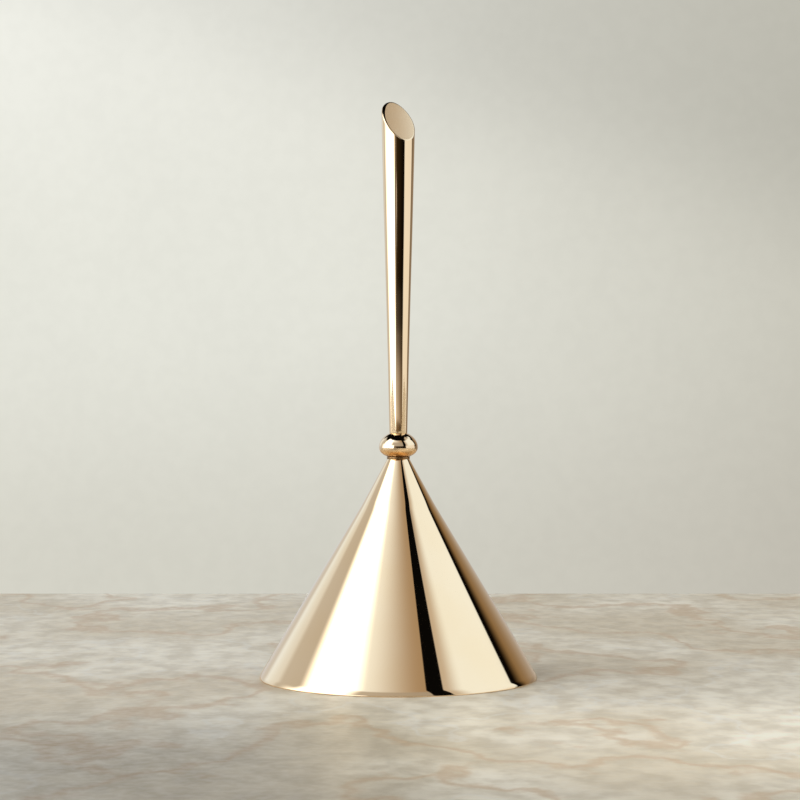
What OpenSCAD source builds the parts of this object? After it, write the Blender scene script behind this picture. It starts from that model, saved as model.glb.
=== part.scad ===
// Bar jigger: a conical measuring cup that stands on its rim, with a bead collar and a
// slender tapered handle whose top is cut on a slant. Millimetres, +Z up, origin at the
// centre of the rim plane. Turned mouth up, the cup holds 59 ml (2 US fl oz) to the brim.

/* [Cup] */
// Diameter that the cup's outer cone would have in the rim plane
rim_d = 67.2; // [60:0.1:74]
// Height from the rim to the tip that the cup's outer cone would have
cone_h = 55.9; // [52:0.1:62]
// Thickness of the spun sheet, square to its surface
wall = 1; // [0.8:0.1:1.4]
// Diameter of the cone's cut-off small end
neck_d = 5.4; // [5:0.1:6]
// Height above which the cone's side is slightly steeper
nose_z = 41.5; // [36:0.5:46]
// How much steeper the side is above that height, in degrees
nose_turn = 2.2; // [0.2:0.2:4]
// Radius of the soft bend between the two straight stretches of the side
nose_bend_r = 60; // [20:5:100]
// Radius of the bend that turns the lip down, just above the rim
lip_bend_r = 5; // [3:0.5:8]
// How far the lip's bend turns, in degrees
lip_turn = 14; // [5:1:20]
// Radius on the two edges of the rim
rim_round = 0.2; // [0.1:0.05:0.25]
// Depth of each engraved fill line inside the cup
line_depth = 0.12; // [0.08:0.02:0.2]

/* [Collar] */
// Diameter of the bead at its widest
bead_d = 9.38; // [8:0.02:11]
// Height of the bead above its widest line, as if it closed to a point
bead_upper_h = 3.83; // [3:0.01:4.5]
// Height of the bead below its widest line, as if it closed to a point
bead_lower_h = 2.66; // [2:0.02:3.4]
// Diameter of the bead's flat top, under the handle
bead_top_d = 4.6; // [4.4:0.1:5]
// Thickness of the neck ring between the cone and the bead
ring_t = 0.6; // [0.4:0.1:1]
// Outside diameter of the neck ring
ring_d = 5.5; // [5:0.1:7]
// Radius on the two edges of the neck ring
ring_edge_round = 0.12; // [0.05:0.01:0.2]

/* [Handle] */
// Diameter of the handle at its foot
handle_foot_d = 4.34; // [4:0.1:5]
// Diameter of the handle at the cut's sharp upper tip
handle_top_d = 8.3; // [6:0.1:10]
// Overall height, to the highest point of the slanted cut's rounded edge
overall_h = 138; // [120:0.2:160]
// Radius on the edge of the cut; here it only lowers the cut's sharp upper tip
cut_edge_round = 0.65; // [0.2:0.05:0.8]
// How much the taper swells above the middle and thins below it
taper_wave = 0.024; // [0:0.004:0.04]
// Slope of the cut at the handle's top, from the horizontal
cut_slope = 54; // [30:1:60]
// Compass direction in which the cut runs down, from +X towards +Y
cut_azimuth = -60; // [-180:5:180]

/* [Thread] */
// Outside diameter of the stud's thread
thread_d = 2.5; // [2:0.5:2.5]
// Pitch of the stud's thread
thread_pitch = 0.45; // [0.4:0.05:0.5]
// Length of the stud
stud_l = 17; // [15:0.5:18]

/* [Hidden] */

arc_steps = 8;        // straight steps in a small rounded edge
oval_steps = 16;      // straight steps in a quarter of the bead
taper_steps = 24;     // straight steps along the handle's taper
round_steps = 128;    // smoothness of everything turned about the axis
thread_clearance = 0.02;
bore_clearance = 0.1;
far = 200;            // longer than anything in the model
overshoot = 1;        // how far a drill starts outside the metal

// The cone
rim_r = rim_d / 2;
slope = rim_r / cone_h;                     // radius lost for each millimetre of height
half_angle = atan(slope);
wall_across = wall / cos(half_angle);       // the wall's thickness measured level
inner_tip_z = cone_h - wall_across / slope;
function outer_r(z) = slope * (cone_h - z);
function inner_r(z) = slope * (inner_tip_z - z);

// The cone's nose, where the side is steeper
nose_angle = half_angle - nose_turn;
neck_z = nose_z + (outer_r(nose_z) - neck_d / 2) / tan(nose_angle);
nose_bend_l = nose_bend_r * tan(nose_turn / 2);     // from the bend's corner to its lower end
nose_bend_centre = [
    outer_r(nose_z) + nose_bend_l * sin(half_angle) + nose_bend_r * cos(half_angle),
    nose_z - nose_bend_l * cos(half_angle) + nose_bend_r * sin(half_angle)
];
stud_hole_r = thread_d / 2 + bore_clearance;
stud_hole_z = inner_tip_z - stud_hole_r / slope;

// The hub that closes the cone's small end from inside
hub_drop = 6.6;       // from the cone's cut-off end down to the hub's lower edge
hub_top_drop = 1.6;   // from the cone's cut-off end down to the hub's top
hub_floor = 2.2;      // from the hub's lower edge up to the stud's bore
hub_z = neck_z - hub_drop;
hub_top_z = neck_z - hub_top_drop;
hub_r = inner_r(hub_z);
dish_depth = 1.2;     // how far the hub's lower face is hollowed
dish_r = (hub_r * hub_r + dish_depth * dish_depth) / (2 * dish_depth);
dish_half_angle = asin(hub_r / dish_r);
hub_bore_z = hub_z + hub_floor;

// The fill lines: with the mouth up, this much lies between the hub and the line
fill_lines_ml = [30, 45];
mm3_per_ml = 1000;
line_half_width = 0.15;       // half the width of an engraved fill line
cone_factor = PI / 3 * slope * slope;       // a cone's volume over the cube of its height
hub_volume = cone_factor * pow(inner_tip_z - hub_z, 3)
    - PI * dish_depth * dish_depth * (3 * dish_r - dish_depth) / 3;
function fill_line_z(ml) = inner_tip_z - pow((ml * mm3_per_ml + hub_volume) / cone_factor, 1 / 3);

// The collar
ring_z = neck_z;
bead_z = ring_z + ring_t;
bead_r = bead_d / 2;
bead_foot_angle = -acos(ring_d / bead_d);
bead_wide_z = bead_z - bead_lower_h * sin(bead_foot_angle);
bead_top_angle = acos(bead_top_d / bead_d);
handle_z = bead_wide_z + bead_upper_h * sin(bead_top_angle);

// The handle
foot_round = 0.15;    // radius on the edge of the handle's foot
tip_angle = 90 - cut_slope;                 // between the cut and the handle's side
cut_top_z = overall_h + cut_edge_round * (1 / tan(tip_angle / 2) - 1);
cut_mid_z = cut_top_z - handle_top_d / 2 * tan(cut_slope);
handle_l = cut_top_z - handle_z;
function handle_r(t) = handle_foot_d / 2
    + (handle_top_d - handle_foot_d) / 2 * (t - taper_wave * sin(360 * t));

// The stud and its holes
thread_depth_share = 0.61;    // depth of a metric thread over its pitch
stud_gap = 0.3;               // empty length of bore below the stud
handle_bore_gap = 1;          // empty length of bore above the stud
thread_r = thread_d / 2;
thread_depth = thread_depth_share * thread_pitch;
stud_z = hub_bore_z + stud_gap;
stud_turns = floor(stud_l / thread_pitch);
handle_bore_l = stud_z + stud_l - handle_z + handle_bore_gap;

// Points of an arc in the profile plane: centre (r, z), semi-axes, first and last angle
function arc(r, z, semi_r, semi_z, from, to, steps) = [
    for (i = [0 : steps])
        let (a = from + (to - from) * i / steps)
            [r + semi_r * cos(a), z + semi_z * sin(a)]
];

// Three points of a V-shaped line engraved in the cone's inner face at height z
function engraved(z) = [
    for (step = [-1, 0, 1])
        let (across = step == 0 ? line_depth : 0)
            [inner_r(z) - step * line_half_width * sin(half_angle) + across * cos(half_angle),
             z + step * line_half_width * cos(half_angle) + across * sin(half_angle)]
];

// Turns a closed profile of [radius, height] points about the axis
module turned(profile) {
    rotate_extrude($fn = round_steps)
        polygon(profile);
}

// Spun sheet cone, open at the rim and drilled by its cut-off small end
module cup_cone() {
    lip_angle = half_angle - lip_turn;
    bend_gap = lip_bend_r - rim_round;
    bend_z = rim_round - bend_gap * sin(lip_angle);
    bend_r = outer_r(bend_z) - lip_bend_r / cos(half_angle);
    outer_edge_r = bend_r + bend_gap * cos(lip_angle);
    inner_edge_r = inner_r(0) + rim_round * (1 - sin(half_angle)) / cos(half_angle);
    color("#d9b98c")
        turned(concat(
            [[neck_d / 2, neck_z]],
            arc(nose_bend_centre.x, nose_bend_centre.y, nose_bend_r, nose_bend_r,
                180 + nose_angle, 180 + half_angle, arc_steps),
            arc(bend_r, bend_z, lip_bend_r, lip_bend_r, half_angle, lip_angle, arc_steps),
            arc(outer_edge_r, rim_round, rim_round, rim_round, lip_angle, -90, arc_steps),
            arc(inner_edge_r, rim_round, rim_round, rim_round, -90, half_angle - 180, arc_steps),
            [for (i = [len(fill_lines_ml) - 1 : -1 : 0]) each engraved(fill_line_z(fill_lines_ml[i]))],
            [[stud_hole_r, stud_hole_z],
             [stud_hole_r, neck_z]]
        ));
}

// Plug brazed inside the tip of the cone: it closes the cup with a shallow dish and takes the stud
module apex_hub() {
    color("#cfae80")
        turned(concat(
            arc(0, hub_z + dish_depth - dish_r, dish_r, dish_r, 90, 90 - dish_half_angle, arc_steps),
            [[inner_r(hub_top_z), hub_top_z],
             [thread_r, hub_top_z],
             [thread_r, hub_bore_z],
             [0, hub_bore_z]]
        ));
}

// Threaded rod from the hub, through the ring and the bead, into the handle
module threaded_stud() {
    crest = thread_r - thread_clearance;
    root = thread_r - thread_depth;
    color("#b8b8ba")
        turned(concat(
            [[0, stud_z]],
            [for (i = [0 : stud_turns - 1])
                each [[root, stud_z + i * thread_pitch], [crest, stud_z + (i + 0.5) * thread_pitch]]],
            [[root, stud_z + stud_turns * thread_pitch],
             [0, stud_z + stud_turns * thread_pitch]]
        ));
}

// Thin ring with softened edges, clamped between the cone's end and the bead
module neck_ring() {
    edge = ring_edge_round;
    color("#cfa974")
        turned(concat(
            [[stud_hole_r, ring_z]],
            arc(ring_d / 2 - edge, ring_z + edge, edge, edge, -90, 0, arc_steps),
            arc(ring_d / 2 - edge, ring_z + ring_t - edge, edge, edge, 0, 90, arc_steps),
            [[stud_hole_r, ring_z + ring_t]]
        ));
}

// Flattened ball, fuller above than below, drilled through for the stud
module collar_bead() {
    color("#d2ae78")
        turned(concat(
            [[stud_hole_r, bead_z]],
            arc(0, bead_wide_z, bead_r, bead_lower_h, bead_foot_angle, 0, oval_steps),
            arc(0, bead_wide_z, bead_r, bead_upper_h, bead_top_angle / oval_steps,
                bead_top_angle, oval_steps - 1),
            [[stud_hole_r, handle_z]]
        ));
}

// Solid tapered rod with a tapped hole in its foot and a slanted cut across its top
module handle() {
    foot_r = handle_r(0);
    color("#dcbd92")
        difference() {
            turned(concat(
                [[0, handle_z]],
                arc(foot_r - foot_round, handle_z + foot_round, foot_round, foot_round,
                    -90, 0, arc_steps),
                [for (i = [1 : taper_steps])
                    [handle_r(i / taper_steps), handle_z + handle_l * i / taper_steps]],
                [[0, cut_top_z]]
            ));
            translate([0, 0, cut_mid_z])
                rotate([0, cut_slope, cut_azimuth])
                    translate([-far / 2, -far / 2, 0])
                        cube(far);
            translate([-far / 2, -far / 2, overall_h])
                cube(far);
            translate([0, 0, handle_z - overshoot])
                cylinder(h = handle_bore_l + overshoot, r = thread_r, $fn = round_steps);
        }
}

cup_cone();
apex_hub();
threaded_stud();
neck_ring();
collar_bead();
handle();
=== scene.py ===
"""Looks of the bar jigger: a polished brass cup standing on its rim, a bead collar and a
slender handle cut on a slant, on a pale stone slab in soft studio light.

Metres, +Z up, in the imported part's own frame. Lengths named in millimetres repeat the CAD's.
"""

import math

import bmesh
import bpy
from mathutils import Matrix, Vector, noise


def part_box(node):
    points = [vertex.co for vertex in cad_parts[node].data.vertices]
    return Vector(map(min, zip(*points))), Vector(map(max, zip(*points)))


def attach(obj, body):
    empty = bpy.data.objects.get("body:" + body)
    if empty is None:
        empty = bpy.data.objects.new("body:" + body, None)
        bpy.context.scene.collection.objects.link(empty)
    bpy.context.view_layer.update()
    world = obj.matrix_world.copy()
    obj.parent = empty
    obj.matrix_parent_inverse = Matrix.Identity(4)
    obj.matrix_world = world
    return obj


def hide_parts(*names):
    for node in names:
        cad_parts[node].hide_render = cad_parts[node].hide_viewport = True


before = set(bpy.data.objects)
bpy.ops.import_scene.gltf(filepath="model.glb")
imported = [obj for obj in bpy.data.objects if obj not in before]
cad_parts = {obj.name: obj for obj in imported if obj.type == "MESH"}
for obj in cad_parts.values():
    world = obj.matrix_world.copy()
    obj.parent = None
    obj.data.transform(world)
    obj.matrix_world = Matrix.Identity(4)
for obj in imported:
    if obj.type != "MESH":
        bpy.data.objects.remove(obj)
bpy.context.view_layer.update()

MM = 0.001
SEGMENTS = 288          # steps round every turned piece

# ---------------------------------------------------------------- dimensions, millimetres
RIM_D = 67.2            # the outer cone, in the rim plane
CONE_H = 55.9           # from the rim plane to the tip that the outer cone would have
WALL = 1.0
NECK_D = 5.4
NOSE_Z = 41.5           # above this the side is slightly steeper
NOSE_TURN = 2.2
NOSE_BEND_R = 60.0
STUD_HOLE_D = 2.7
LIP_BEND_R = 5.0
LIP_TURN = 14.0
RIM_ROUND = 0.2
LIP_GAP = 0.3           # between the cone's last even step and the lip's bend
FILL_LINE_DEPTH = 0.12
FILL_LINE_HALF_WIDTH = 0.15
FILL_LINES_ML = (30, 45)
MM3_PER_ML = 1000
DISH_DEPTH = 1.2
HUB_HOLE_R = 1.0        # hidden hole in the visual hub's top
HUB_FLOOR = 1.0         # metal left between that hole and the dish
RING_EDGE_ROUND = 0.12
BEAD_UPPER_H = 3.83
BEAD_LOWER_H = 2.66
BEAD_TOP_D = 4.6
HANDLE_FOOT_D = 4.34
HANDLE_TOP_D = 8.3
TAPER_WAVE = 0.024
FOOT_ROUND = 0.15
FOOT_FACE_R = 0.8       # hidden flat face that closes the visual handle's foot
CUT_SLOPE = 54.0
CUT_AZIMUTH = -60.0
CUT_EDGE_ROUND = 0.65   # radius of the polished-over edge of the cut
CUT_CROWN = 0.09        # how far polishing leaves the middle of the cut proud of its edge


def heights(node):
    """Lowest and highest point of a CAD node, in millimetres."""
    low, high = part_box(node)
    return low.z / MM, high.z / MM


def widest(node):
    """Largest radius of a CAD node, in millimetres."""
    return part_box(node)[1].x / MM


NECK_Z = heights("cup_cone")[1]
RING_Z, BEAD_Z = heights("neck_ring")
HANDLE_Z, TOP_Z = heights("handle")
HUB_Z, HUB_TOP_Z = heights("apex_hub")
BEAD_R = widest("collar_bead")
RING_R = widest("neck_ring")

SLOPE = RIM_D / 2 / CONE_H
HALF_ANGLE = math.degrees(math.atan(SLOPE))
INNER_TIP_Z = CONE_H - WALL / math.sin(math.radians(HALF_ANGLE))
NOSE_ANGLE = HALF_ANGLE - NOSE_TURN
TIP_HALF_ANGLE = (90 - CUT_SLOPE) / 2
CUT_TOP_Z = TOP_Z + CUT_EDGE_ROUND * (1 / math.tan(math.radians(TIP_HALF_ANGLE)) - 1)
HANDLE_L = CUT_TOP_Z - HANDLE_Z
CUT_MID_Z = CUT_TOP_Z - HANDLE_TOP_D / 2 * math.tan(math.radians(CUT_SLOPE))


def outer_r(z):
    """Radius of the cone's outer face at height z."""
    return SLOPE * (CONE_H - z)


def inner_r(z):
    """Radius of the cone's inner face at height z."""
    return SLOPE * (INNER_TIP_Z - z)


def handle_r(z):
    """Radius of the handle at height z: a straight taper with a slight swell."""
    share = (z - HANDLE_Z) / HANDLE_L
    swell = share - TAPER_WAVE * math.sin(2 * math.pi * share)
    return HANDLE_FOOT_D / 2 + (HANDLE_TOP_D - HANDLE_FOOT_D) / 2 * swell


# ---------------------------------------------------------------- profiles of (radius, height)
def arc(r, z, semi_r, semi_z, start, end, steps):
    """Points of an arc of an ellipse, from angle start to angle end in degrees."""
    angles = [math.radians(start + (end - start) * i / steps) for i in range(steps + 1)]
    return [(r + semi_r * math.cos(a), z + semi_z * math.sin(a)) for a in angles]


def cone_points(radius_at, z_from, z_to, steps):
    """Points down or up a cone, closer together towards its tip."""
    r_from, r_to = radius_at(z_from), radius_at(z_to)
    points = []
    for i in range(steps + 1):
        r = r_from * (r_to / r_from) ** (i / steps)
        share = (r - r_from) / (r_to - r_from)
        points.append((r, z_from + (z_to - z_from) * share))
    return points


def dish_r():
    """Radius of the ball that hollows the hub's lower face."""
    return (inner_r(HUB_Z) ** 2 + DISH_DEPTH ** 2) / (2 * DISH_DEPTH)


def fill_line(ml):
    """Height of the line that this many millilitres reach with the mouth up."""
    cone_factor = math.pi / 3 * SLOPE ** 2
    dish = math.pi * DISH_DEPTH ** 2 * (3 * dish_r() - DISH_DEPTH) / 3
    hub = cone_factor * (INNER_TIP_Z - HUB_Z) ** 3 - dish
    return INNER_TIP_Z - ((ml * MM3_PER_ML + hub) / cone_factor) ** (1 / 3)


def fill_groove(z):
    """Three points of the V-shaped fill line in the inner face at height z."""
    sine, cosine = math.sin(math.radians(HALF_ANGLE)), math.cos(math.radians(HALF_ANGLE))
    points = []
    for step in (-1, 0, 1):
        across = 0 if step else FILL_LINE_DEPTH
        along = step * FILL_LINE_HALF_WIDTH
        points.append((inner_r(z) - along * sine + across * cosine, z + along * cosine + across * sine))
    return points


def nose_arc():
    """The soft bend between the steeper nose and the cone's straight side, from its upper end."""
    half = math.radians(HALF_ANGLE)
    reach = NOSE_BEND_R * math.tan(math.radians(NOSE_TURN / 2))
    middle_r = outer_r(NOSE_Z) + reach * math.sin(half) + NOSE_BEND_R * math.cos(half)
    middle_z = NOSE_Z - reach * math.cos(half) + NOSE_BEND_R * math.sin(half)
    return arc(middle_r, middle_z, NOSE_BEND_R, NOSE_BEND_R, 180 + NOSE_ANGLE, 180 + HALF_ANGLE, 8)


def nose_r(z):
    """Radius of the steeper nose at height z."""
    return NECK_D / 2 + (NECK_Z - z) * math.tan(math.radians(NOSE_ANGLE))


def cup_profile():
    """Closed profile of the spun cone, and the number of its points that lie outside."""
    lip_angle = HALF_ANGLE - LIP_TURN
    bend_gap = LIP_BEND_R - RIM_ROUND
    bend_z = RIM_ROUND - bend_gap * math.sin(math.radians(lip_angle))
    bend_r = outer_r(bend_z) - LIP_BEND_R / math.cos(math.radians(HALF_ANGLE))
    edge_r = bend_r + bend_gap * math.cos(math.radians(lip_angle))
    sine, cosine = math.sin(math.radians(HALF_ANGLE)), math.cos(math.radians(HALF_ANGLE))
    inner_edge_r = inner_r(0) + RIM_ROUND * (1 - sine) / cosine
    bend = arc(bend_r, bend_z, LIP_BEND_R, LIP_BEND_R, HALF_ANGLE, lip_angle, 12)
    nose_bend = nose_arc()
    nose = cone_points(nose_r, NECK_Z, nose_bend[0][1], 24)[:-1] + nose_bend
    outside = nose + cone_points(outer_r, nose[-1][1], bend[0][1] + LIP_GAP, 60)[1:] + bend
    outside += arc(edge_r, RIM_ROUND, RIM_ROUND, RIM_ROUND, lip_angle, -90, 8)[1:]
    inside = arc(inner_edge_r, RIM_ROUND, RIM_ROUND, RIM_ROUND, -90, HALF_ANGLE - 180, 8)
    z_from = inside[-1][1]
    for ml in reversed(FILL_LINES_ML):
        groove = fill_groove(fill_line(ml))
        inside += cone_points(inner_r, z_from, groove[0][1], 12)[1:-1] + groove
        z_from = groove[-1][1]
    hole_r = STUD_HOLE_D / 2
    inside += cone_points(inner_r, z_from, INNER_TIP_Z - hole_r / SLOPE, 24)[1:] + [(hole_r, NECK_Z)]
    return outside + inside, len(outside)


def hub_profile():
    """The hub's dish and top; its hidden middle is a plain hole, since nothing shows it."""
    ball_r = dish_r()
    angle = math.degrees(math.asin(inner_r(HUB_Z) / ball_r))
    dish = arc(0, HUB_Z + DISH_DEPTH - ball_r, ball_r, ball_r, 90, 90 - angle, 16)
    hole_floor = HUB_Z + DISH_DEPTH + HUB_FLOOR
    return dish[1:] + [(inner_r(HUB_TOP_Z), HUB_TOP_Z), (HUB_HOLE_R, HUB_TOP_Z), (HUB_HOLE_R, hole_floor)]


def ring_profile():
    """Closed profile of the thin ring, with softened edges."""
    edge = RING_EDGE_ROUND
    inner = STUD_HOLE_D / 2
    lower = arc(RING_R - edge, RING_Z + edge, edge, edge, -90, 0, 8)
    upper = arc(RING_R - edge, BEAD_Z - edge, edge, edge, 0, 90, 8)
    return [(inner, RING_Z)] + lower + upper + [(inner, BEAD_Z)]


def bead_profile():
    """Closed profile of the flattened bead, fuller above its widest line than below."""
    foot = -math.degrees(math.acos(RING_R / BEAD_R))
    wide_z = BEAD_Z - BEAD_LOWER_H * math.sin(math.radians(foot))
    top = math.degrees(math.acos(BEAD_TOP_D / 2 / BEAD_R))
    lower = arc(0, wide_z, BEAD_R, BEAD_LOWER_H, foot, 0, 24)
    upper = arc(0, wide_z, BEAD_R, BEAD_UPPER_H, 0, top, 32)[1:]
    inner = STUD_HOLE_D / 2
    return [(inner, BEAD_Z)] + lower + upper + [(inner, HANDLE_Z)]


# ---------------------------------------------------------------- meshes
def wave(place, size, stretch, depth):
    """How far the hand-polished surface lies inside its true form, in millimetres."""
    x, y, z = place
    return depth * (noise.noise(Vector((x / size, y / size, z / size / stretch))) - 1) / 2


def pushed_in(r, angle, z, finish):
    """Point on the turned surface, in metres, let in by the surface's slight waves."""
    place = (r * math.cos(angle), r * math.sin(angle), z)
    r += wave(place, *finish)
    return Vector((r * math.cos(angle), r * math.sin(angle), z)) * MM


def add_rows(mesh, rows, closed):
    """Faces between neighbouring rows of vertices, and between the last and first if closed."""
    faces = []
    count = len(rows[0])
    pairs = list(zip(rows, rows[1:])) + ([(rows[-1], rows[0])] if closed else [])
    for lower, upper in pairs:
        for i in range(count):
            j = (i + 1) % count
            faces.append(mesh.faces.new((lower[i], lower[j], upper[j], upper[i])))
    return faces


def mark_creases(mesh, angle=40):
    """Smooth shading everywhere but across edges that turn by more than this many degrees."""
    for face in mesh.faces:
        face.smooth = True
    for edge in mesh.edges:
        edge.smooth = edge.calc_face_angle(0) < math.radians(angle)


def finish_mesh(mesh, name, materials):
    """The bmesh as an object in the scene."""
    bmesh.ops.recalc_face_normals(mesh, faces=mesh.faces)
    mark_creases(mesh)
    data = bpy.data.meshes.new(name)
    mesh.to_mesh(data)
    mesh.free()
    for material in materials:
        data.materials.append(material)
    piece = bpy.data.objects.new(name, data)
    bpy.context.scene.collection.objects.link(piece)
    return piece


def turned(profile, finish):
    """A bmesh of the closed profile turned about the axis."""
    mesh = bmesh.new()
    rows = []
    for r, z in profile:
        angles = [2 * math.pi * i / SEGMENTS for i in range(SEGMENTS)]
        rows.append([mesh.verts.new(pushed_in(r, a, z, finish)) for a in angles])
    return mesh, add_rows(mesh, rows, closed=True)


# ---------------------------------------------------------------- shader nodes
def add_node(tree, kind, inputs=(), **settings):
    """A new node; inputs maps a socket to a value or to the output that feeds it."""
    node = tree.nodes.new(kind)
    for name, value in settings.items():
        setattr(node, name, value)
    for socket, value in dict(inputs).items():
        if isinstance(value, bpy.types.NodeSocket):
            tree.links.new(value, node.inputs[socket])
        else:
            node.inputs[socket].default_value = value
    return node


def calc(tree, operation, *values):
    """One step of arithmetic."""
    return add_node(tree, "ShaderNodeMath", enumerate(values), operation=operation).outputs[0]


def fade(tree, value, start, end, to_start=0.0, to_end=1.0):
    """Goes softly from to_start to to_end while value goes from start to end."""
    inputs = {"From Min": start, "From Max": end, "To Min": to_start, "To Max": to_end, "Value": value}
    node = add_node(tree, "ShaderNodeMapRange", inputs, interpolation_type="SMOOTHSTEP")
    return node.outputs["Result"]


def blend(tree, share, first, second):
    """Colour between first and second."""
    inputs = {"Factor": share, "A": first, "B": second}
    node = tree.nodes.new("ShaderNodeMix")
    node.data_type = "RGBA"
    sockets = {s.name: s for s in node.inputs if s.enabled}
    for name, value in inputs.items():
        if isinstance(value, bpy.types.NodeSocket):
            tree.links.new(value, sockets[name])
        else:
            sockets[name].default_value = value
    return next(s for s in node.outputs if s.enabled)


def grain(tree, scale, detail=2.0, place=None):
    """Noise over the object's own coordinates, scale in features per metre along x, y and z."""
    if place is None:
        place = add_node(tree, "ShaderNodeTexCoord").outputs["Object"]
    mapped = add_node(tree, "ShaderNodeMapping", {"Vector": place, "Scale": scale})
    inputs = {"Vector": mapped.outputs[0], "Scale": 1.0, "Detail": detail}
    return add_node(tree, "ShaderNodeTexNoise", inputs).outputs[0]


def new_material(name):
    """An empty node material with a Principled shader on its output."""
    material = bpy.data.materials.new(name)
    material.use_nodes = True
    tree = material.node_tree
    tree.nodes.clear()
    shader = add_node(tree, "ShaderNodeBsdfPrincipled")
    add_node(tree, "ShaderNodeOutputMaterial", {"Surface": shader.outputs[0]})
    return material, tree, shader


def plug(tree, shader, **inputs):
    """Feeds the shader's sockets, named with _ for a space."""
    for name, value in inputs.items():
        socket = shader.inputs[name.replace("_", " ")]
        if isinstance(value, bpy.types.NodeSocket):
            tree.links.new(value, socket)
        else:
            socket.default_value = value


GOLD = (0.93, 0.71, 0.46, 1)
GOLD_DEEP = (0.92, 0.69, 0.43, 1)
# painted shade and reflection: the brown of the bead's underside
BELLY_PAINTED_SHADE = (0.86, 0.50, 0.21, 1)
# painted shade: dark browns for the narrow gap between the bead and the cone, on the ring and the bead's
# foot
PAINTED_SHADE_BROWN = (0.34, 0.20, 0.09, 1)
PAINTED_SHADE_DEEP = (0.22, 0.12, 0.05, 1)
STEEL = (0.62, 0.62, 0.63, 1)
AROUND = (40, 40, 3500)       # fine marks that run round the axis
ALONG = (2500, 2500, 60)      # fine marks that run up and down


def buff(tree, shader, colour, marks, roughness, relief):
    """Metal of this colour, with fine buffing marks in its gloss and its relief."""
    fine = grain(tree, marks, 4)
    gloss = fade(tree, fine, 0.3, 0.75, *roughness)
    bump = add_node(tree, "ShaderNodeBump", {"Strength": 1.0, "Distance": relief * MM, "Height": fine})
    plug(tree, shader, Base_Color=colour, Metallic=1.0, Roughness=gloss, Normal=bump.outputs[0])


def brass(name, marks, roughness, relief, colours=(GOLD, GOLD_DEEP)):
    """Brass with a faint drift of colour."""
    material, tree, shader = new_material(name)
    drift = grain(tree, (60, 60, 60), 3)
    colour = blend(tree, fade(tree, drift, 0.35, 0.7), *colours)
    buff(tree, shader, colour, marks, roughness, relief)
    return material


def bead_brass():
    """Polished brass with painted shade: it turns brown below the bead's widest line, where the underside
    sees shade and reflected gold, and dark brown towards the ring.
    """
    material, tree, shader = new_material("polished_brass_bead_painted_shade")
    place = add_node(tree, "ShaderNodeTexCoord").outputs["Object"]
    height = add_node(tree, "ShaderNodeSeparateXYZ", {"Vector": place}).outputs["Z"]
    waist, belly, foot = ((BEAD_Z + above) * MM for above in (2.1, 0.8, -0.2))
    below = blend(tree, fade(tree, height, waist, belly), GOLD, BELLY_PAINTED_SHADE)
    colour = blend(tree, fade(tree, height, belly, foot), below, PAINTED_SHADE_BROWN)
    buff(tree, shader, colour, AROUND, (0.02, 0.05), 0.00003)
    return material


def stud_steel():
    """Plain rolled steel for the hidden stud."""
    material, tree, shader = new_material("stud_steel")
    fine = grain(tree, AROUND, 4)
    gloss = fade(tree, fine, 0.3, 0.7, 0.25, 0.4)
    plug(tree, shader, Base_Color=STEEL, Metallic=1.0, Roughness=gloss)
    return material


# ---------------------------------------------------------------- the pieces
CONE_WAVES = (16, 1.5, 0.014)    # size, stretch along the axis and depth of the waves, millimetres
SMALL_WAVES = (2.5, 1, 0.004)
HANDLE_WAVES = (2.6, 4.5, 0.03)

POLISH = brass("polished_brass", AROUND, (0.02, 0.045), 0.0001)
BEAD_POLISH = bead_brass()
LONG_POLISH = brass("polished_brass_handle", ALONG, (0.02, 0.04), 0.00003)
SPUN = brass("spun_brass_inside", AROUND, (0.16, 0.3), 0.004)
# the ring in dark, rough brass: painted shade for the dark line between the bead and the cone
RING_PAINTED_SHADE = brass("ring_brass_painted_shade", AROUND, (0.2, 0.35), 0.001, (PAINTED_SHADE_BROWN, PAINTED_SHADE_DEEP))
CUT_POLISH = brass("satin_brass_cut", (700, 700, 700), (0.18, 0.22), 0.00004)


def make_cup():
    profile, outside = cup_profile()
    mesh, faces = turned(profile, CONE_WAVES)
    for index, face in enumerate(faces):
        face.material_index = 0 if index // SEGMENTS < outside else 1
    return finish_mesh(mesh, "cup", (POLISH, SPUN))


def make_hub():
    mesh, _ = turned(hub_profile(), SMALL_WAVES)
    return finish_mesh(mesh, "tip_hub", (SPUN,))


def make_ring():
    mesh, _ = turned(ring_profile(), SMALL_WAVES)
    return finish_mesh(mesh, "collar_ring", (RING_PAINTED_SHADE,))


def make_bead():
    mesh, _ = turned(bead_profile(), SMALL_WAVES)
    return finish_mesh(mesh, "bead", (BEAD_POLISH,))


def cut_plane():
    """Outward normal of the slanted cut, and its middle on the axis, in millimetres."""
    tilt, heading = math.radians(CUT_SLOPE), math.radians(CUT_AZIMUTH)
    normal = Vector((
        math.sin(tilt) * math.cos(heading),
        math.sin(tilt) * math.sin(heading),
        math.cos(tilt),
    ))
    return normal, Vector((0, 0, CUT_MID_Z))


def edge_height(angle):
    """Height at which the handle's side meets the cut, in one direction from the axis."""
    normal, middle = cut_plane()
    z = middle.z
    for _ in range(12):
        lean = normal.x * math.cos(angle) + normal.y * math.sin(angle)
        z = middle.z - handle_r(z) * lean / normal.z
    return z


def round_corner(start, corner, end, pull, share):
    """Point on the circular arc that rounds a corner; pull is the sine of half the corner's angle."""
    weights = ((1 - share) ** 2, 2 * pull * share * (1 - share), share ** 2)
    total = sum(weights)
    return (start * weights[0] + corner * weights[1] + end * weights[2]) / total


SIDE_ROWS, EDGE_ROWS, FACE_ROWS, FOOT_ROWS = 220, 12, 24, 8


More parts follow.
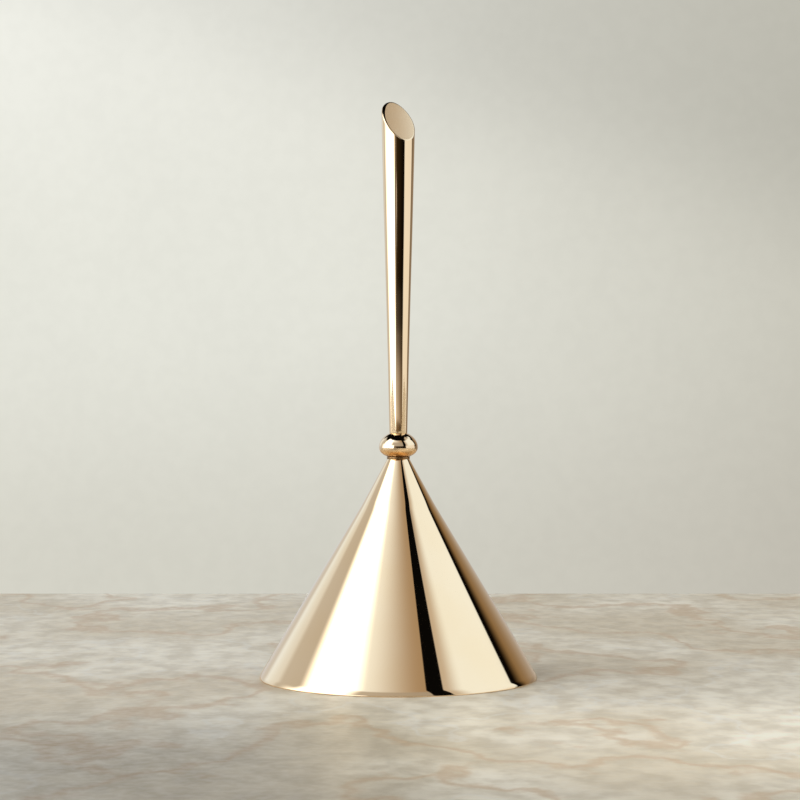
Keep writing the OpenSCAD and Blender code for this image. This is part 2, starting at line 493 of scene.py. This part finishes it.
def handle_column(angle):
    """Points up the handle in one direction: foot, side, rounded edge, and in over the cut."""
    normal, middle = cut_plane()
    centre = middle * MM
    edge_z = edge_height(angle)
    corner = pushed_in(handle_r(edge_z), angle, edge_z, HANDLE_WAVES)
    inward = (centre - corner).normalized()
    half = inward.angle(Vector((0, 0, -1))) / 2
    reach = CUT_EDGE_ROUND / math.tan(half)
    column = [pushed_in(FOOT_FACE_R, angle, HANDLE_Z, HANDLE_WAVES)]
    start_r, start_z = handle_r(HANDLE_Z) - FOOT_ROUND, HANDLE_Z + FOOT_ROUND
    for r, z in arc(start_r, start_z, FOOT_ROUND, FOOT_ROUND, -90, 0, FOOT_ROWS):
        column.append(pushed_in(r, angle, z, HANDLE_WAVES))
    for k in range(1, SIDE_ROWS + 1):
        z = start_z + (edge_z - reach - start_z) * k / SIDE_ROWS
        column.append(pushed_in(handle_r(z), angle, z, HANDLE_WAVES))
    side = column[-1]
    rim = corner + inward * reach * MM
    for k in range(1, EDGE_ROWS + 1):
        column.append(round_corner(side, corner, rim, math.sin(half), k / EDGE_ROWS))
    for k in range(1, FACE_ROWS):
        t = k / FACE_ROWS
        column.append(rim.lerp(centre, t) + normal * CUT_CROWN * MM * (1 - (1 - t) ** 2))
    return column


def make_handle():
    """Tapered rod: rounded foot, side, rounded cut edge and slightly crowned cut face."""
    normal, middle = cut_plane()
    mesh = bmesh.new()
    columns = []
    for i in range(SEGMENTS):
        column = handle_column(2 * math.pi * i / SEGMENTS)
        columns.append([mesh.verts.new(p) for p in column])
    rows = [list(row) for row in zip(*columns)]
    faces = add_rows(mesh, rows, closed=False)
    first_of_cut = (1 + FOOT_ROWS + SIDE_ROWS + EDGE_ROWS) * SEGMENTS
    for index, face in enumerate(faces):
        face.material_index = 1 if index >= first_of_cut else 0
    mesh.faces.new(rows[0])
    peak = mesh.verts.new((middle + normal * CUT_CROWN) * MM)
    last = rows[-1]
    for i in range(SEGMENTS):
        face = mesh.faces.new((last[i], last[(i + 1) % SEGMENTS], peak))
        face.material_index = 1
    return finish_mesh(mesh, "handle_rod", (LONG_POLISH, CUT_POLISH))


PIECES = (
    (make_cup, "cup_cone", "cup"),
    (make_hub, "apex_hub", "hub"),
    (make_ring, "neck_ring", "ring"),
    (make_bead, "collar_bead", "bead"),
    (make_handle, "handle", "handle"),
)
for make, node, slot in PIECES:
    piece = make()
    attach(piece, "root")
    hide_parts(node)

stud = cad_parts["threaded_stud"]
stud.data.materials.clear()
stud.data.materials.append(stud_steel())


# ---------------------------------------------------------------- slab and light
def tone(brightness, warmth=0.0):
    """Light of this brightness; warmth 0 is white, 1 is deep amber, below 0 is bluish."""
    return (brightness, brightness * (1 - 0.38 * warmth), brightness * (1 - 0.78 * warmth), 1)


STONE_DEEP = (0.70, 0.585, 0.415, 1)
STONE_PALE = (0.86, 0.765, 0.60, 1)
STONE_BROWN = (0.50, 0.40, 0.265, 1)
STONE_RUST = (0.58, 0.39, 0.22, 1)
STONE_VEIN = (0.80, 0.76, 0.68, 1)


def on_slab(tree):
    """Where a point of the slab lies, across and away from the camera, in metres."""
    place = add_node(tree, "ShaderNodeTexCoord").outputs["Object"]
    x, y, _ = add_node(tree, "ShaderNodeSeparateXYZ", {"Vector": place}).outputs
    return x, y


def painted_shadow_front_left(tree):
    """1 where a shadow is painted on the slab's front left part, 0 elsewhere."""
    x, y = on_slab(tree)
    return calc(tree, "MULTIPLY", fade(tree, x, 0.06, -0.05), fade(tree, y, -0.02, -0.12))


def painted_light_front(tree):
    """1 in the slab's strip of painted light in front of the cup, to the right, 0 elsewhere."""
    x, y = on_slab(tree)
    strip = calc(tree, "MULTIPLY", fade(tree, y, -0.02, -0.07), fade(tree, y, -0.15, -0.115))
    return calc(tree, "MULTIPLY", fade(tree, x, -0.045, 0.02), strip)


def line_at(tree, value, level, width, strength):
    """A soft line where value crosses level: strength on the line, 0 beside it."""
    away = calc(tree, "ABSOLUTE", calc(tree, "SUBTRACT", value, level))
    return fade(tree, away, 0.0, width, strength, 0.0)


def stone():
    """Warm honed stone: cloudy patches, fine mottling, rusty and pale veins and fine pores, with a
    painted pool of light in front of the cup and a painted shadow over its front left.
    """
    material, tree, shader = new_material("pale_stone")
    clouds = grain(tree, (16, 14, 16), 5)
    mottle = grain(tree, (150, 110, 150), 9)
    veins = grain(tree, (17, 12, 17), 9)
    pores = grain(tree, (420, 420, 420), 3)
    base = blend(tree, fade(tree, clouds, 0.38, 0.62), STONE_DEEP, STONE_PALE)
    mottled = blend(tree, fade(tree, mottle, 0.34, 0.68, 0.0, 0.55), base, STONE_BROWN)
    rusty = blend(tree, line_at(tree, veins, 0.47, 0.025, 0.6), mottled, STONE_RUST)
    veined = blend(tree, line_at(tree, veins, 0.56, 0.012, 0.3), rusty, STONE_VEIN)
    # painted light brightens a strip in front of the cup
    painted_light_scale = calc(tree, "MULTIPLY_ADD", painted_light_front(tree), 0.28, 1.0)
    # painted shadow darkens the slab's front left
    shade = calc(tree, "MULTIPLY_ADD", painted_shadow_front_left(tree), -0.42, painted_light_scale)
    scaled = add_node(tree, "ShaderNodeVectorMath", {0: veined, "Scale": shade}, operation="SCALE")
    gloss = fade(tree, pores, 0.3, 0.7, 0.35, 0.5)
    bump = add_node(tree, "ShaderNodeBump", {"Strength": 0.3, "Distance": 0.02 * MM, "Height": pores})
    plug(tree, shader, Base_Color=scaled.outputs[0], Roughness=gloss, Normal=bump.outputs[0])
    shader.inputs["Specular IOR Level"].default_value = 0.3
    return material


def make_slab():
    """The stone slab: its top in the rim plane, its back edge 0.2 m behind the cup's axis."""
    left, right, front, back, thickness = -1.6, 1.6, -0.72, 0.2, 0.03
    mesh = bmesh.new()
    bmesh.ops.create_cube(mesh, size=1)
    for vertex in mesh.verts:
        vertex.co.x = left if vertex.co.x < 0 else right
        vertex.co.y = front if vertex.co.y < 0 else back
        vertex.co.z = -thickness if vertex.co.z < 0 else 0
    edges = [e for e in mesh.edges if all(v.co.z == 0 for v in e.verts)]
    bmesh.ops.bevel(mesh, geom=edges, offset=0.002, segments=3, affect="EDGES", profile=0.5)
    slab = finish_mesh(mesh, "slab", (stone(),))


make_slab()

# The studio round the object, painted in order: name, azimuth from and to (0 is the camera's side,
# 90 the right), softness of those two edges, elevation from and to, softness of both, and the tones
# at the two azimuths. All angles are in degrees.
STUDIO = (
    ("left wall", -182, -84, 1, 30, -90, 42, 6, tone(0.68, -0.1), tone(0.56, -0.03)),
    ("left wall streak", -147, -125, 10, 8, 4, 40, 12, tone(0.92, -0.45), tone(0.80, -0.25)),
    ("dark above the left wall, behind", -182, -140, 1, 14, 28, 90, 6, tone(0.003), tone(0.003)),
    ("right wall", 128, 172, 14, 1, -90, 30, 6, tone(0.26, 0.85), tone(0.52, 0.18)),
    ("right wall, behind", 168, 182, 6, 1, -90, 30, 6, tone(0.52, 0.18), tone(0.54, 0.12)),
    ("right wall, low", 112, 150, 3, 20, -90, 6, 6, tone(0.23, 0.5), tone(0.27, 0.4)),
    ("wall over the front of the room", -60, 30.5, 10, 1.5, 13, 50, 10, tone(0.58), tone(0.42, 0.1)),
    ("ceiling over the camera", -60, 30.5, 10, 1.5, 46, 63, 5, tone(1.12, -0.4), tone(0.42, 0.55)),
    ("dark gap beside the ceiling", 30.5, 48, 1.5, 1.5, 10, 80, 6, tone(0.003), tone(0.003)),
    ("left soft box", -96, -44, 14, 20, 14, 60, 6, tone(2.4, -0.2), tone(2.4, -0.2)),
    ("left soft box, low", -104, -26, 30, 3, -90, 20, 14, tone(2.2, -0.2), tone(2.4, -0.2)),
    ("right soft box", 48, 117, 1.5, 2, 12, 55, 8, tone(0.60, 0.16), tone(0.95, -0.45)),
    ("right soft box, top", 80, 140, 10, 4, 42, 52, 5, tone(0.95, -0.35), tone(0.95, -0.35)),
    ("ceiling above the right soft box", 78, 125, 8, 8, 51.5, 66, 3, tone(0.56, 0.12), tone(0.56, 0.12)),
    ("right soft box, middle", 60, 114, 20, 4, 12, 55, 8, tone(0.98, -0.43), tone(1.0, -0.43)),
    ("right soft box, low", 44, 112, 5, 5, -90, 16, 8, tone(0.95, -0.1), tone(0.92, -0.1)),
    ("front of the room", -27, 47, 3, 6, -2, 13, 7, tone(0.035, 0.9), tone(0.004, 0.9)),
    ("front of the room, left", -28, -14, 3, 14, -2, 13, 7, tone(0.36, 0.2), tone(0.16, 0.6)),
    ("lamp in the room", -14.5, -11, 1.2, 1.2, 0.4, 2.2, 1, tone(0.75, 0.1), tone(0.7, 0.2)),
    ("studio floor, front", -30, 48, 4, 7, -90, -2.6, 3, tone(0.75, 0.15), tone(0.20, 0.75)),
    ("foot of the camera stand", -30, 47, 3, 3, -5.2, -3.8, 0.15, tone(0.22, 0.8), tone(0.02, 0.8)),
)


FILL_LIGHT = 1.0        # added to the studio's strength of 1 for diffuse rays, which only the stone has


def window(tree, value, low, high, soft_low, soft_high):
    """1 between low and high, with soft edges, 0 outside."""
    rise = fade(tree, value, low - soft_low / 2, low + soft_low / 2)
    fall = fade(tree, value, high - soft_high / 2, high + soft_high / 2, 1.0, 0.0)
    return calc(tree, "MULTIPLY", rise, fall)


# The plaster wall's colours at three heights, each on the left and on the right, with painted light:
# brighter on the left, where the light comes from.
WALL_UPPER = ((0.87, 0.87, 0.80, 1), (0.58, 0.565, 0.488, 1))
WALL_MIDDLE = ((0.783, 0.783, 0.708, 1), (0.536, 0.517, 0.441, 1))
WALL_LOWER = ((0.651, 0.638, 0.559, 1), (0.491, 0.462, 0.396, 1))


def backdrop(tree, direction, x, elevation):
    """What the camera sees behind the slab: a pale plaster wall, lit from the left, with a soft
    slanting shadow over its upper right."""
    clouds = grain(tree, (6, 6, 6), 3, direction)
    plaster = grain(tree, (160, 160, 160), 2, direction)
    cloudy = fade(tree, clouds, 0.3, 0.7, 0.98, 1.02)
    shade = calc(tree, "MULTIPLY", cloudy, fade(tree, plaster, 0.3, 0.7, 0.99, 1.01))
    slant = calc(tree, "MULTIPLY_ADD", x, 18.0, elevation)
    shade = calc(tree, "MULTIPLY", shade, fade(tree, slant, 4.8, 9.5, 1.0, 0.85))
    upper = blend(tree, fade(tree, x, -0.2, 0.25), *WALL_UPPER)
    across = fade(tree, x, -0.1, 0.3)
    middle = blend(tree, across, *WALL_MIDDLE)
    lower = blend(tree, across, *WALL_LOWER)
    wall = blend(tree, fade(tree, elevation, -6.5, 2), lower, middle)
    return blend(tree, fade(tree, elevation, 2, 9), wall, upper), shade


def build_world():
    """Soft boxes, walls and ceiling as light by direction; the camera itself sees the backdrop."""
    world = bpy.data.worlds.new("studio")
    bpy.context.scene.world = world
    world.use_nodes = True
    tree = world.node_tree
    tree.nodes.clear()
    direction = add_node(tree, "ShaderNodeTexCoord").outputs["Generated"]
    x, y, z = add_node(tree, "ShaderNodeSeparateXYZ", {"Vector": direction}).outputs
    ahead = calc(tree, "MULTIPLY", y, -1.0)
    azimuth = calc(tree, "DEGREES", calc(tree, "ARCTAN2", x, ahead))
    elevation = calc(tree, "DEGREES", calc(tree, "ARCSINE", z))
    colour = add_node(tree, "ShaderNodeRGB").outputs[0]
    colour.default_value = tone(0.003, 0.7)
    for _, left, right, soft_left, soft_right, low, high, soft_up, first, last in STUDIO:
        across = window(tree, azimuth, left, right, soft_left, soft_right)
        up = window(tree, elevation, low, high, soft_up, soft_up)
        share = calc(tree, "MULTIPLY", across, up)
        along = fade(tree, azimuth, left, right)
        colour = blend(tree, share, colour, blend(tree, along, first, last))
    wall, shade = backdrop(tree, direction, x, elevation)
    path = add_node(tree, "ShaderNodeLightPath")
    strength = calc(tree, "MULTIPLY_ADD", path.outputs["Is Diffuse Ray"], FILL_LIGHT, 1.0)
    light = add_node(tree, "ShaderNodeBackground", {"Color": colour, "Strength": strength})
    seen = add_node(tree, "ShaderNodeBackground", {"Color": wall, "Strength": shade})
    mixed = add_node(tree, "ShaderNodeMixShader", {
        0: path.outputs["Is Camera Ray"], 1: light.outputs[0], 2: seen.outputs[0]})
    add_node(tree, "ShaderNodeOutputWorld", {"Surface": mixed.outputs[0]})


build_world()


SENSOR_WIDTH = 36                           # millimetres, as is the focal length
FOCAL_LENGTH = 100.6
CAMERA_PLACE = (0.0004, -0.535, 0.0742)     # metres
LOOKING_DOWN = 0.83                         # degrees


def make_camera():
    """Level with the lower part of the handle, looking very slightly down."""
    data = bpy.data.cameras.new("camera")
    data.sensor_width = SENSOR_WIDTH
    data.lens = FOCAL_LENGTH
    data.clip_start = 0.01
    camera = bpy.data.objects.new("camera", data)
    camera.location = CAMERA_PLACE
    camera.rotation_euler = (math.radians(90 - LOOKING_DOWN), 0, 0)
    bpy.context.scene.collection.objects.link(camera)
    bpy.context.scene.camera = camera


make_camera()
bpy.context.scene.view_settings.view_transform = "Standard"
